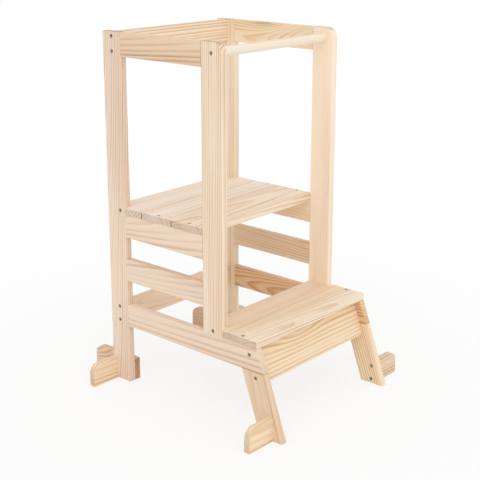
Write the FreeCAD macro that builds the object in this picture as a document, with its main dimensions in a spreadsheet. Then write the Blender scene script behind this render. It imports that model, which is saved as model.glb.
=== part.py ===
import FreeCAD, Part
import os
import re
import Sketcher

# A toddler's kitchen helper stool: a standing tower of planed pine boards with a front step.
# Lengths are in millimetres. The object's right is +X, its front (the step) is -Y, up is +Z.
# The origin is on the floor, at the middle of the footprint.

os.makedirs("parts", exist_ok=True)
document = FreeCAD.newDocument("kitchen_helper_stool")

# Driving dimensions.

SIZES = {
    # boards
    "board_thickness": 18,
    "post_width": 62,
    "rail_width": 58,
    "panel_thickness": 18,
    "corner_radius": 24,
    "edge_rounding": 1.5,
    # tower
    "tower_height": 900,
    "tower_width": 426,
    "tower_depth": 386,
    "platform_top": 468,
    "platform_rear_inset": 18,
    "middle_rail_top": 335,
    "base_rail_top": 213,
    "handrail_diameter": 22,
    "handrail_drop": 25,
    # step
    "step_run": 104,
    "splay_angle": 20,
    "apron_recess": 18,
    "apron_drop": 86,
    # feet
    "rear_foot_overhang": 89,
    "outrigger_length": 82,
    "front_outrigger_setback": 26,
    # screws with a sunk head and a hexagon socket
    "screw_head_diameter": 9.5,
    "screw_head_height": 4,
    "screw_sink": 1.5,
    "screw_shank_diameter": 6.3,
    "screw_length": 50,
    "foot_screw_length": 30,
    "socket_width": 4,
    "socket_depth": 2.5,
    "screw_spacing": 36,
    "tongue_screw_setback": 18,
    "foot_screw_setback": 22,
    "step_screw_setback": 49,
    "apron_upper_screw_drop": 19,
    "apron_lower_screw_drop": 72,
    # wooden dowel pins
    "pin_diameter": 8,
    "pin_length": 30,
    "pin_spacing": 28,
    "leg_pin_spacing": 40,
    # fits
    "hole_clearance": 0.1,
    "hole_end_gap": 1,
}

sheet = document.addObject("Spreadsheet::Sheet", "Sizes")
for row, (size_name, size) in enumerate(SIZES.items(), start=1):
    sheet.set(f"A{row}", size_name)
    sheet.set(f"B{row}", str(size))
    sheet.setAlias(f"B{row}", size_name)
document.recompute()


def bound(words):
    """An expression in the names above, with every name pointed at its cell."""
    return re.sub(r"\b[a-z]+(?:_[a-z]+)+\b", lambda name: "Sizes." + name.group(0), words)


def value(words):
    """The number that an expression gives now."""
    return float(sheet.evalExpression(bound(words)))


def bind(thing, target, words):
    thing.setExpression(target, bound(words))


# Places, as expressions. Each names one plane that several pieces share.

LEFT_OUTER = "(-tower_width / 2)"
RIGHT_OUTER = "(tower_width / 2)"
LEFT_INNER = "(board_thickness - tower_width / 2)"
RIGHT_INNER = "(tower_width / 2 - board_thickness)"
INNER_WIDTH = "(tower_width - 2 * board_thickness)"
SIDE_MIDDLE = "(tower_width / 2 - board_thickness / 2)"

TOE_REACH = "(base_rail_top * tan(splay_angle))"
FOOTPRINT_DEPTH = f"(rear_foot_overhang + tower_depth + step_run + {TOE_REACH})"
TOWER_REAR = f"({FOOTPRINT_DEPTH} / 2 - rear_foot_overhang)"
TOWER_FRONT = f"({TOWER_REAR} - tower_depth)"
REAR_POST_FRONT = f"({TOWER_REAR} - post_width)"
FRONT_POST_REAR = f"({TOWER_FRONT} + post_width)"
REAR_POST_MIDDLE = f"({TOWER_REAR} - post_width / 2)"
FRONT_POST_MIDDLE = f"({TOWER_FRONT} + post_width / 2)"
STEP_FRONT = f"({TOWER_FRONT} - step_run)"
SIDE_OPENING = "(tower_depth - 2 * post_width)"

TOP_RAIL_BASE = "(tower_height - rail_width)"
PLATFORM_BASE = "(platform_top - panel_thickness)"
PLATFORM_RAIL_BASE = f"({PLATFORM_BASE} - rail_width)"
MIDDLE_RAIL_BASE = "(middle_rail_top - rail_width)"
BASE_RAIL_BASE = "(base_rail_top - rail_width)"
STEP_TOP = "(base_rail_top + panel_thickness)"
HANDRAIL_HEIGHT = "(tower_height - handrail_drop)"

LEG_FOOTPRINT = "(post_width / cos(splay_angle))"
TOE = f"({STEP_FRONT} - {TOE_REACH})"
REAR_OUTRIGGER_FRONT = f"({TOWER_REAR} - board_thickness)"
FRONT_OUTRIGGER_FRONT = f"({TOE} + front_outrigger_setback)"
FRONT_OUTRIGGER_MIDDLE = f"({FRONT_OUTRIGGER_FRONT} + board_thickness / 2)"


def splay_front(height):
    """Where the splayed front line of leg and base rail stands at a height."""
    return f"({STEP_FRONT} - (base_rail_top - {height}) * tan(splay_angle))"


def apron_plane(depth, height):
    """Where the apron stands at a height, at a depth behind its front face."""
    return f"({splay_front(height)} + (apron_recess + {depth}) / cos(splay_angle))"


def pair(middle, spacing):
    return [f"({middle} - {spacing} / 2)", f"({middle} + {spacing} / 2)"]


# How a board is made: an outline on one of its body's own planes, padded by its thickness.

PLANES = {"X": ("YZ_Plane", 1), "Y": ("XZ_Plane", -1), "Z": ("XY_Plane", 1)}
OTHER_AXES = {"X": (1, 2), "Y": (0, 2), "Z": (0, 1)}
AXES = "XYZ"

# How near two places count as one, how well two normals agree on a smooth edge, and the least
# volume that a hole takes away.
SAME_PLACE = 0.01
SMOOTH_EDGE = 0.99
LEAST_CUT = 1

pieces = []
pockets = []


class Wood:
    """A wooden piece, placed by its lowest corner, with its outline across one axis."""

    def __init__(self, name, axis, corner, thickness):
        self.name = name
        self.axis = axis
        self.corner = corner
        self.thickness = thickness
        self.body = document.addObject("PartDesign::Body", name)
        for letter, place in zip("xyz", corner):
            bind(self.body, f"Placement.Base.{letter}", place)
        pieces.append(self.body)

    def sketch(self, axis, name):
        drawn = self.body.newObject("Sketcher::SketchObject", name)
        role = PLANES[axis][0]
        plane = next(p for p in self.body.Origin.OriginFeatures if p.Role == role)
        drawn.AttachmentSupport = [(plane, "")]
        drawn.MapMode = "FlatFace"
        return drawn

    def pad(self, drawn):
        pad = self.body.newObject("PartDesign::Pad", f"{self.name}_pad")
        pad.Profile = drawn
        bind(pad, "Length", self.thickness)
        pad.Reversed = PLANES[self.axis][1] < 0
        drawn.Visibility = False
        document.recompute()
        return self

    def local(self, axis_number, place):
        return f"({place} - {self.corner[axis_number]})"

    def fillet(self, name, edges, radius):
        base = self.body.Tip
        made = self.body.newObject("PartDesign::Fillet", f"{self.name}_{name}")
        made.Base = (base, edges)
        bind(made, "Radius", radius)
        document.recompute()

    def round_corner(self, across, first, second):
        """Rounds the corner that the outline has at two places, seen along an axis."""
        numbers = OTHER_AXES[across]
        wanted = [value(self.local(n, p)) for n, p in zip(numbers, (first, second))]
        shape = self.body.Tip.Shape
        edges = []
        for count, edge in enumerate(shape.Edges, start=1):
            ends = [v.Point for v in edge.Vertexes]
            if all(abs(p[n] - w) < SAME_PLACE for p in ends for n, w in zip(numbers, wanted)):
                edges.append(f"Edge{count}")
        self.fillet("corner", edges, "corner_radius")
        return self

    def ease(self, *seats):
        """Eases every sharp edge, apart from those in the planes where the piece meets others."""
        levels = [(AXES.index(a), value(self.local(AXES.index(a), p))) for a, p in seats]
        shape = self.body.Tip.Shape
        edges = []
        for count, edge in enumerate(shape.Edges, start=1):
            ends = [v.Point for v in edge.Vertexes]
            seated = any(all(abs(p[n] - level) < SAME_PLACE for p in ends) for n, level in levels)
            faces = shape.ancestorsOfType(edge, Part.Face)
            middle = edge.valueAt((edge.FirstParameter + edge.LastParameter) / 2)
            normals = [f.normalAt(*f.Surface.parameter(middle)) for f in faces]
            smooth = len(normals) == 2 and abs(normals[0].dot(normals[1])) > SMOOTH_EDGE
            if not seated and not smooth:
                edges.append(f"Edge{count}")
        self.fillet("easing", edges, "edge_rounding")
        return self

    def drill(self, toward, mouth, centres, diameter, depth):
        """Holes with one mouth plane, drilled towards an axis direction such as -X."""
        axis = toward[1]
        first, second = OTHER_AXES[axis]
        normal = PLANES[axis][1]
        number = len(self.body.Group)
        drawn = self.sketch(axis, f"{self.name}_hole_sketch_{number}")
        mouth_level = self.local(AXES.index(axis), mouth)
        bind(drawn, "AttachmentOffset.Base.z", f"{normal} * {mouth_level}")
        for count, centre in enumerate(centres):
            places = (self.local(first, centre[0]), self.local(second, centre[1]))
            point = FreeCAD.Vector(value(places[0]), value(places[1]), 0)
            drawn.addGeometry(Part.Circle(point, FreeCAD.Vector(0, 0, 1), value(diameter) / 2))
            for kind, place in zip(("DistanceX", "DistanceY"), places):
                made = drawn.addConstraint(Sketcher.Constraint(kind, -1, 1, count, 3, value(place)))
                bind(drawn, f"Constraints[{made}]", place)
            made = drawn.addConstraint(Sketcher.Constraint("Diameter", count, value(diameter)))
            bind(drawn, f"Constraints[{made}]", diameter)
        pocket = self.body.newObject("PartDesign::Pocket", f"{self.name}_holes_{number}")
        pocket.Profile = drawn
        bind(pocket, "Length", depth)
        pocket.Reversed = (toward[0] == "+") == (normal > 0)
        drawn.Visibility = False
        pockets.append(pocket)
        return self

    def screw_holes(self, toward, face, centres):
        """Clearance holes through a board, with a wider seat for each head."""
        seat = "(screw_sink + screw_head_height)"
        self.drill(toward, face, centres, HEAD_HOLE, seat)
        return self.drill(toward, face, centres, SHANK_HOLE, "board_thickness")

    def pilot_holes(self, toward, face, centres, length="screw_length", passed="board_thickness"):
        """Blind holes that take the far end of screws which pass through a board first."""
        depth = f"({length} + screw_sink - {passed} + hole_end_gap)"
        return self.drill(toward, face, centres, SHANK_HOLE, depth)

    def pin_holes(self, toward, face, centres):
        return self.drill(toward, face, centres, PIN_HOLE, "(pin_length / 2 + hole_end_gap)")


HEAD_HOLE = "(screw_head_diameter + 2 * hole_clearance)"
SHANK_HOLE = "(screw_shank_diameter + 2 * hole_clearance)"
PIN_HOLE = "(pin_diameter + 2 * hole_clearance)"


def board(name, axis, corner, outline, thickness="board_thickness"):
    """A board whose outline is a closed line through points given from its lowest corner."""
    piece = Wood(name, axis, corner, thickness)
    drawn = piece.sketch(axis, f"{name}_outline")
    points = [FreeCAD.Vector(value(a), value(b), 0) for a, b in outline]
    for count, start in enumerate(points):
        drawn.addGeometry(Part.LineSegment(start, points[(count + 1) % len(points)]))
    for count in range(len(points)):
        following = (count + 1) % len(points)
        drawn.addConstraint(Sketcher.Constraint("Coincident", count, 2, following, 1))
    for count, places in enumerate(outline):
        for kind, place in zip(("DistanceX", "DistanceY"), places):
            made = drawn.addConstraint(Sketcher.Constraint(kind, -1, 1, count, 1, value(place)))
            bind(drawn, f"Constraints[{made}]", place)
    return piece.pad(drawn)


def rectangle(width, height):
    return [("0", "0"), (width, "0"), (width, height), ("0", height)]


def round_bar(name, axis, corner, diameter, length):
    """A bar of round section along an axis."""
    piece = Wood(name, axis, corner, length)
    drawn = piece.sketch(axis, f"{name}_section")
    radius = value(diameter) / 2
    centre = FreeCAD.Vector(radius, radius, 0)
    drawn.addGeometry(Part.Circle(centre, FreeCAD.Vector(0, 0, 1), radius))
    for kind in ("DistanceX", "DistanceY"):
        made = drawn.addConstraint(Sketcher.Constraint(kind, -1, 1, 0, 3, radius))
        bind(drawn, f"Constraints[{made}]", f"{diameter} / 2")
    made = drawn.addConstraint(Sketcher.Constraint("Diameter", 0, 2 * radius))
    bind(drawn, f"Constraints[{made}]", diameter)
    return piece.pad(drawn)


# The two sides. Side-dependent places: outer face, inner face and the lowest X of a board there.

SIDES = {
    "left": {"outer": LEFT_OUTER, "inner": LEFT_INNER, "lowest": LEFT_OUTER, "inward": "+X"},
    "right": {
        "outer": RIGHT_OUTER,
        "inner": RIGHT_INNER,
        "lowest": RIGHT_INNER,
        "inward": "-X",
    },
}
OUTWARD = {"+X": "-X", "-X": "+X"}
SIDE_RAIL_BASES = {
    "top": TOP_RAIL_BASE,
    "platform": PLATFORM_RAIL_BASE,
    "middle": MIDDLE_RAIL_BASE,
}

# The platform is three equal staves edge to edge, and the step board is two.

STAVE_WIDTH = "((tower_depth - post_width - platform_rear_inset) / 3)"
MIDDLE_STAVE_REAR = f"({FRONT_POST_REAR} + 2 * {STAVE_WIDTH})"
MIDDLE_STAVE_FRONT = f"({FRONT_POST_REAR} + {STAVE_WIDTH})"
STEP_STAVE_WIDTH = "((post_width + step_run) / 2)"
STEP_JOINT = f"({STEP_FRONT} + {STEP_STAVE_WIDTH})"


def rail_middle(base):
    return f"({base} + rail_width / 2)"


def places_at(first, heights):
    return [(first, height) for height in heights]


OUTRIGGER_SCREW_HEIGHTS = pair("(rail_width / 2)", "screw_spacing")
TONGUE_SCREW = f"({REAR_POST_FRONT} + tongue_screw_setback)"
PLATFORM_MID_HEIGHT = f"({PLATFORM_BASE} + panel_thickness / 2)"
STEP_MID_HEIGHT = "(base_rail_top + panel_thickness / 2)"
FOOT_SCREW = f"({REAR_POST_FRONT} + foot_screw_setback)"
OUTRIGGER_SCREW = f"({TOWER_REAR} - board_thickness / 2)"
APRON_UPPER_SCREW = "(base_rail_top - apron_upper_screw_drop)"
APRON_LOWER_SCREW = "(base_rail_top - apron_lower_screw_drop)"
APRON_MIDDLE = "(board_thickness / 2)"
FRONT_POST_PINS = pair(FRONT_POST_MIDDLE, "pin_spacing")
LEG_MIDDLE = f"({splay_front(BASE_RAIL_BASE)} + {LEG_FOOTPRINT} / 2)"
LEG_PINS = pair(LEG_MIDDLE, "leg_pin_spacing")
STEP_SCREW = f"({STEP_FRONT} + step_screw_setback)"
PLATFORM_RAIL_SCREWS = [
    f"({FRONT_POST_REAR} + {STAVE_WIDTH} / 2)",
    f"({MIDDLE_STAVE_FRONT} + {STAVE_WIDTH} / 2)",
]


def side_middle(side):
    return f"(-{SIDE_MIDDLE})" if side == "left" else SIDE_MIDDLE


def rear_post(side):
    place = SIDES[side]
    post = board(
        f"rear_{side}_post",
        "X",
        (place["lowest"], REAR_POST_FRONT, "0"),
        rectangle("post_width", "tower_height"),
    )
    post.ease()
    for base in (TOP_RAIL_BASE, PLATFORM_RAIL_BASE, MIDDLE_RAIL_BASE, BASE_RAIL_BASE):
        heights = pair(rail_middle(base), "pin_spacing")
        post.pin_holes("+Y", REAR_POST_FRONT, places_at(side_middle(side), heights))
    for base in (TOP_RAIL_BASE, BASE_RAIL_BASE):
        heights = pair(rail_middle(base), "screw_spacing")
        post.screw_holes(place["inward"], place["outer"], places_at(REAR_POST_MIDDLE, heights))
    post.screw_holes(place["inward"], place["outer"], [(TONGUE_SCREW, PLATFORM_MID_HEIGHT)])
    outward = OUTWARD[place["inward"]]
    post.screw_holes(outward, place["inner"], places_at(OUTRIGGER_SCREW, OUTRIGGER_SCREW_HEIGHTS))
    feet = places_at(FOOT_SCREW, OUTRIGGER_SCREW_HEIGHTS)
    post.pilot_holes(outward, place["inner"], feet, "foot_screw_length")


def front_post(side):
    place = SIDES[side]
    post = board(
        f"front_{side}_post",
        "X",
        (place["lowest"], TOWER_FRONT, "base_rail_top"),
        rectangle("post_width", "(tower_height - base_rail_top)"),
    )
    post.round_corner("X", TOWER_FRONT, "tower_height")
    post.ease(("Z", "base_rail_top"))
    for base in SIDE_RAIL_BASES.values():
        heights = pair(rail_middle(base), "pin_spacing")
        post.pin_holes("-Y", FRONT_POST_REAR, places_at(side_middle(side), heights))
    post.pin_holes("+Z", "base_rail_top", [(side_middle(side), y) for y in FRONT_POST_PINS])
    screws = [(FRONT_POST_MIDDLE, HANDRAIL_HEIGHT), (FRONT_POST_MIDDLE, STEP_MID_HEIGHT)]
    post.screw_holes(place["inward"], place["outer"], screws)


def side_rail(side, level, base):
    rail = board(
        f"{side}_{level}_rail",
        "X",
        (SIDES[side]["lowest"], FRONT_POST_REAR, base),
        rectangle(SIDE_OPENING, "rail_width"),
    )
    rail.ease(("Y", FRONT_POST_REAR), ("Y", REAR_POST_FRONT))
    pins = places_at(side_middle(side), pair(rail_middle(base), "pin_spacing"))
    rail.pin_holes("+Y", FRONT_POST_REAR, pins)
    rail.pin_holes("-Y", REAR_POST_FRONT, pins)
    if level == "platform":
        screws = [(side_middle(side), y) for y in PLATFORM_RAIL_SCREWS]
        rail.pilot_holes("-Z", PLATFORM_BASE, screws, passed="panel_thickness")


def base_rail(side):
    place = SIDES[side]
    nose = splay_front(BASE_RAIL_BASE)
    length = f"({REAR_POST_FRONT} - {nose})"
    rail = board(
        f"{side}_base_rail",
        "X",
        (place["lowest"], nose, BASE_RAIL_BASE),
        [
            ("0", "0"),
            (length, "0"),
            (length, "rail_width"),
            ("(rail_width * tan(splay_angle))", "rail_width"),
        ],
    )
    rail.ease(("Y", REAR_POST_FRONT))
    rear_pins = places_at(side_middle(side), pair(rail_middle(BASE_RAIL_BASE), "pin_spacing"))
    rail.pin_holes("-Y", REAR_POST_FRONT, rear_pins)
    rail.pin_holes("-Z", "base_rail_top", [(side_middle(side), y) for y in FRONT_POST_PINS])
    rail.pin_holes("+Z", BASE_RAIL_BASE, [(side_middle(side), y) for y in LEG_PINS])
    step_screw = [(side_middle(side), STEP_SCREW)]
    rail.pilot_holes("-Z", "base_rail_top", step_screw, passed="panel_thickness")
    apron_screw = (apron_plane(APRON_MIDDLE, APRON_UPPER_SCREW), APRON_UPPER_SCREW)
    rail.screw_holes(place["inward"], place["outer"], [apron_screw])


def front_leg(side):
    place = SIDES[side]
    shift = f"({BASE_RAIL_BASE} * tan(splay_angle))"
    leg = board(
        f"front_{side}_leg",
        "X",
        (place["lowest"], TOE, "0"),
        [
            ("0", "0"),
            (LEG_FOOTPRINT, "0"),
            (f"({LEG_FOOTPRINT} + {shift})", BASE_RAIL_BASE),
            (shift, BASE_RAIL_BASE),
        ],
    )
    leg.ease(("Z", BASE_RAIL_BASE), ("Z", "0"))
    leg.pin_holes("-Z", BASE_RAIL_BASE, [(side_middle(side), y) for y in LEG_PINS])
    apron_screw = (apron_plane(APRON_MIDDLE, APRON_LOWER_SCREW), APRON_LOWER_SCREW)
    leg.screw_holes(place["inward"], place["outer"], [apron_screw])
    outrigger_screws = places_at(FRONT_OUTRIGGER_MIDDLE, OUTRIGGER_SCREW_HEIGHTS)
    leg.screw_holes(OUTWARD[place["inward"]], place["inner"], outrigger_screws)


def cross_rail(name, base):
    """A rail between the rear posts, in the middle of their width."""
    rail = board(
        name,
        "Y",
        (LEFT_INNER, f"({REAR_POST_MIDDLE} - board_thickness / 2)", base),
        rectangle(INNER_WIDTH, "rail_width"),
    )
    rail.ease(("X", LEFT_INNER), ("X", RIGHT_INNER))
    screws = places_at(REAR_POST_MIDDLE, pair(rail_middle(base), "screw_spacing"))
    for place in SIDES.values():
        rail.pilot_holes(place["inward"], place["inner"], screws)


def tongued_stave(name, front, notch, rear, base):
    """The rear stave of a panel, with a tongue that reaches back between two posts."""
    margin = "board_thickness"
    depth = f"({rear} - {front})"
    shoulder = f"({notch} - {front})"
    stave = board(
        name,
        "Z",
        (LEFT_OUTER, front, base),
        [
            ("0", "0"),
            ("tower_width", "0"),
            ("tower_width", shoulder),
            (f"(tower_width - {margin})", shoulder),
            (f"(tower_width - {margin})", depth),
            (margin, depth),
            (margin, shoulder),
            ("0", shoulder),
        ],
        "panel_thickness",
    )
    stave.ease(("Y", front), ("Y", notch), ("X", LEFT_INNER), ("X", RIGHT_INNER))
    return stave


def plain_stave(name, front, width, base, *joints):
    corner = (LEFT_OUTER, front, base)
    stave = board(name, "Z", corner, rectangle("tower_width", width), "panel_thickness")
    stave.ease(*joints)
    return stave


def rail_screw_holes(stave, top, place):
    """Screws from a panel's top down into the rails under both of its ends."""
    centres = [(side_middle(side), place) for side in SIDES]
    stave.screw_holes("-Z", top, centres)


def platform():
    rear = tongued_stave(
        "platform_rear_stave",
        MIDDLE_STAVE_REAR,
        REAR_POST_FRONT,
        f"({TOWER_REAR} - platform_rear_inset)",
        PLATFORM_BASE,
    )
    middle = plain_stave(
        "platform_middle_stave",
        MIDDLE_STAVE_FRONT,
        STAVE_WIDTH,
        PLATFORM_BASE,
        ("Y", MIDDLE_STAVE_FRONT),
        ("Y", MIDDLE_STAVE_REAR),
    )
    front = plain_stave(
        "platform_front_stave",
        FRONT_POST_REAR,
        STAVE_WIDTH,
        PLATFORM_BASE,
        ("Y", MIDDLE_STAVE_FRONT),
    )
    for place in SIDES.values():
        screw = [(TONGUE_SCREW, PLATFORM_MID_HEIGHT)]
        rear.pilot_holes(place["inward"], place["inner"], screw)
    for stave, place in zip((front, middle), PLATFORM_RAIL_SCREWS):
        rail_screw_holes(stave, "platform_top", place)


def step():
    rear = tongued_stave(
        "step_rear_stave", STEP_JOINT, TOWER_FRONT, FRONT_POST_REAR, "base_rail_top"
    )
    front = plain_stave(
        "step_front_stave", STEP_FRONT, STEP_STAVE_WIDTH, "base_rail_top", ("Y", STEP_JOINT)
    )
    for place in SIDES.values():
        screw = [(FRONT_POST_MIDDLE, STEP_MID_HEIGHT)]
        rear.pilot_holes(place["inward"], place["inner"], screw)
    rail_screw_holes(front, STEP_TOP, STEP_SCREW)


def apron():
    """The tilted board under the step, with its top cut level and its lower edge square."""
    lower = "(base_rail_top - apron_drop)"
    low_front = apron_plane("0", lower)
    heel = f"({lower} - board_thickness * sin(splay_angle))"
    corner = (LEFT_INNER, low_front, heel)
    made = board(
        "step_apron",
        "X",
        corner,
        [
            ("0", f"({lower} - {heel})"),
            ("(board_thickness * cos(splay_angle))", "0"),
            (
                f"({apron_plane('board_thickness', 'base_rail_top')} - {low_front})",
                f"(base_rail_top - {heel})",
            ),
            (
                f"({apron_plane('0', 'base_rail_top')} - {low_front})",
                f"(base_rail_top - {heel})",
            ),
        ],
        INNER_WIDTH,
    )
    made.ease(("X", LEFT_INNER), ("X", RIGHT_INNER), ("Z", "base_rail_top"))
    screws = [(apron_plane(APRON_MIDDLE, z), z) for z in (APRON_UPPER_SCREW, APRON_LOWER_SCREW)]
    for place in SIDES.values():
        made.pilot_holes(place["inward"], place["inner"], screws)


def handrail():
    radius = "handrail_diameter / 2"
    corner = (LEFT_INNER, f"({FRONT_POST_MIDDLE} - {radius})", f"({HANDRAIL_HEIGHT} - {radius})")
    bar = round_bar("front_handrail", "X", corner, "handrail_diameter", INNER_WIDTH)
    for place in SIDES.values():
        screw = [(FRONT_POST_MIDDLE, HANDRAIL_HEIGHT)]
        bar.pilot_holes(place["inward"], place["inner"], screw)


def inner_foot(side):
    """The board that runs back along the floor from a rear post's inner face."""
    place = SIDES[side]
    lowest = LEFT_INNER if side == "left" else f"({RIGHT_INNER} - board_thickness)"
    inner_face = f"({LEFT_INNER} + board_thickness)" if side == "left" else lowest
    foot = board(
        f"rear_{side}_inner_foot",
        "X",
        (lowest, REAR_POST_FRONT, "0"),
        rectangle("(post_width + rear_foot_overhang)", "rail_width"),
    )
    foot.round_corner("X", f"({TOWER_REAR} + rear_foot_overhang)", "rail_width")
    foot.ease()
    screws = places_at(FOOT_SCREW, OUTRIGGER_SCREW_HEIGHTS)
    foot.screw_holes(OUTWARD[place["inward"]], inner_face, screws)


def outrigger(name, side, front, screw_line):
    """A board that reaches outwards along the floor from a post or a leg."""
    place = SIDES[side]
    if side == "left":
        tip = f"({LEFT_OUTER} - outrigger_length)"
        lowest = tip
    else:
        tip = f"({RIGHT_OUTER} + outrigger_length)"
        lowest = RIGHT_OUTER
    made = board(name, "Y", (lowest, front, "0"), rectangle("outrigger_length", "rail_width"))
    made.round_corner("Y", tip, "rail_width")
    made.ease(("X", place["outer"]))
    screws = places_at(screw_line, OUTRIGGER_SCREW_HEIGHTS)
    made.pilot_holes(OUTWARD[place["inward"]], place["outer"], screws)


# Fasteners. A group is made on the left, mirrored to the right and kept as one sub-part.

TURNS = {
    "+X": FreeCAD.Rotation(FreeCAD.Vector(0, 1, 0), 90),
    "-X": FreeCAD.Rotation(FreeCAD.Vector(0, 1, 0), -90),
    "+Y": FreeCAD.Rotation(FreeCAD.Vector(1, 0, 0), -90),
    "+Z": FreeCAD.Rotation(),
    "-Z": FreeCAD.Rotation(FreeCAD.Vector(1, 0, 0), 180),
}


def stand(solid, toward, place):
    """Turns a solid made along +Z towards an axis direction and moves its foot to a place."""
    solid.Placement = FreeCAD.Placement(FreeCAD.Vector(0, 0, 0), TURNS[toward])
    for letter, words in zip("xyz", place):
        bind(solid, f"Placement.Base.{letter}", words)


def along(toward, place, distance):
    """A place moved by a distance in an axis direction."""
    moved = list(place)
    number = AXES.index(toward[1])
    moved[number] = f"({place[number]} {toward[0]} {distance})"
    return moved


def screw(name, toward, mouth, length):
    """A screw whose sunk head lies below its hole's mouth, with a hexagon socket."""
    top = along(toward, mouth, "screw_sink")
    head = document.addObject("Part::Cylinder", f"{name}_head")
    bind(head, "Radius", "screw_head_diameter / 2")
    bind(head, "Height", "screw_head_height")
    stand(head, toward, top)
    shank = document.addObject("Part::Cylinder", f"{name}_shank")
    bind(shank, "Radius", "screw_shank_diameter / 2")
    bind(shank, "Height", length)
    stand(shank, toward, top)
    blank = document.addObject("Part::Fuse", f"{name}_blank")
    blank.Base = head
    blank.Tool = shank
    socket = document.addObject("Part::Prism", f"{name}_socket")
    socket.Polygon = 6
    bind(socket, "Circumradius", "socket_width / sqrt(3)")
    bind(socket, "Height", "socket_depth")
    stand(socket, toward, top)
    made = document.addObject("Part::Cut", name)
    made.Base = blank
    made.Tool = socket
    return made


def pin(name, toward, joint):
    """A round dowel pin whose middle lies in the joint between two boards."""
    made = document.addObject("Part::Cylinder", name)
    bind(made, "Radius", "pin_diameter / 2")
    bind(made, "Height", "pin_length")
    stand(made, toward, along(toward, joint, "(-pin_length / 2)"))
    return made


def mirrored_group(name, left_solids):
    left = document.addObject("Part::Compound", f"{name}_left")
    left.Links = left_solids
    right = document.addObject("Part::Mirroring", f"{name}_right")
    right.Source = left
    right.Normal = FreeCAD.Vector(1, 0, 0)
    group = document.addObject("Part::Compound", name)
    group.Links = [left, right]
    pieces.append(group)


def screw_group(name, toward, mouths, length="screw_length"):
    screws = [
        screw(f"{name}_{count}", toward, mouth, length) for count, mouth in enumerate(mouths, 1)
    ]
    mirrored_group(name, screws)


def pin_group(name, toward, joints):
    mirrored_group(name, [pin(f"{name}_{n}", toward, joint) for n, joint in enumerate(joints, 1)])


def side_screws(face, line, heights):
    return [(face, line, height) for height in heights]


def screws():
    left = SIDES["left"]
    for name, base in (
        ("back_top_rail_screws", TOP_RAIL_BASE),
        ("back_lower_rail_screws", BASE_RAIL_BASE),
    ):
        heights = pair(rail_middle(base), "screw_spacing")
        screw_group(name, "+X", side_screws(left["outer"], REAR_POST_MIDDLE, heights))
    for name, line, height in (
        ("handrail_screws", FRONT_POST_MIDDLE, HANDRAIL_HEIGHT),
        ("platform_post_screws", TONGUE_SCREW, PLATFORM_MID_HEIGHT),
        ("step_post_screws", FRONT_POST_MIDDLE, STEP_MID_HEIGHT),
        ("apron_rail_screws", apron_plane(APRON_MIDDLE, APRON_UPPER_SCREW), APRON_UPPER_SCREW),
        ("apron_leg_screws", apron_plane(APRON_MIDDLE, APRON_LOWER_SCREW), APRON_LOWER_SCREW),
    ):
        screw_group(name, "+X", side_screws(left["outer"], line, [height]))
    middle = side_middle("left")
    tops = [(middle, y, "platform_top") for y in PLATFORM_RAIL_SCREWS]
    screw_group("platform_rail_screws", "-Z", tops)
    screw_group("step_rail_screws", "-Z", [(middle, STEP_SCREW, STEP_TOP)])
    heights = OUTRIGGER_SCREW_HEIGHTS
    front = side_screws(left["inner"], FRONT_OUTRIGGER_MIDDLE, heights)
    screw_group("front_outrigger_screws", "-X", front)
    rear = side_screws(left["inner"], OUTRIGGER_SCREW, heights)
    screw_group("rear_outrigger_screws", "-X", rear)
    foot_face = f"({LEFT_INNER} + board_thickness)"
    feet = side_screws(foot_face, FOOT_SCREW, heights)
    screw_group("inner_foot_screws", "-X", feet, "foot_screw_length")


def pins():
    middle = side_middle("left")
    for level, base in SIDE_RAIL_BASES.items():
        heights = pair(rail_middle(base), "pin_spacing")
        joints = [(middle, y, z) for y in (FRONT_POST_REAR, REAR_POST_FRONT) for z in heights]
        pin_group(f"{level}_rail_pins", "+Y", joints)
    heights = pair(rail_middle(BASE_RAIL_BASE), "pin_spacing")
    pin_group("base_rail_pins", "+Y", [(middle, REAR_POST_FRONT, z) for z in heights])
    pin_group("front_post_pins", "+Z", [(middle, y, "base_rail_top") for y in FRONT_POST_PINS])
    pin_group("front_leg_pins", "+Z", [(middle, y, BASE_RAIL_BASE) for y in LEG_PINS])


# The stool.

for side in SIDES:
    rear_post(side)
    front_post(side)
    for level, base in SIDE_RAIL_BASES.items():
        side_rail(side, level, base)
    base_rail(side)
    front_leg(side)
    inner_foot(side)
    outrigger(f"rear_{side}_outrigger", side, REAR_OUTRIGGER_FRONT, OUTRIGGER_SCREW)
    outrigger(f"front_{side}_outrigger", side, FRONT_OUTRIGGER_FRONT, FRONT_OUTRIGGER_MIDDLE)
cross_rail("back_top_rail", TOP_RAIL_BASE)
cross_rail("back_lower_rail", BASE_RAIL_BASE)
handrail()
platform()
step()
apron()
screws()
pins()

# Every solid is sound and every hole cuts, and then each sub-part has its file.

document.recompute()
for thing in document.Objects:
    if {"Invalid", "Error"} & set(thing.State):
        raise RuntimeError(f"{thing.Label} failed to build")
for pocket in pockets:
    if pocket.Shape.Volume >= pocket.BaseFeature.Shape.Volume - LEAST_CUT:
        raise RuntimeError(f"{pocket.Label} cuts nothing")
for piece in pieces:
    if piece.Shape.isNull() or not piece.Shape.isValid() or not piece.Shape.Solids:
        raise RuntimeError(f"{piece.Label} has no sound shape")
for piece in pieces:
    piece.Shape.exportStep(f"parts/{piece.Label}.step")
print(len(pieces), "sub-parts written")
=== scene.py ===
import math

import bmesh
import bpy
from mathutils import Matrix, Vector


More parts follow.
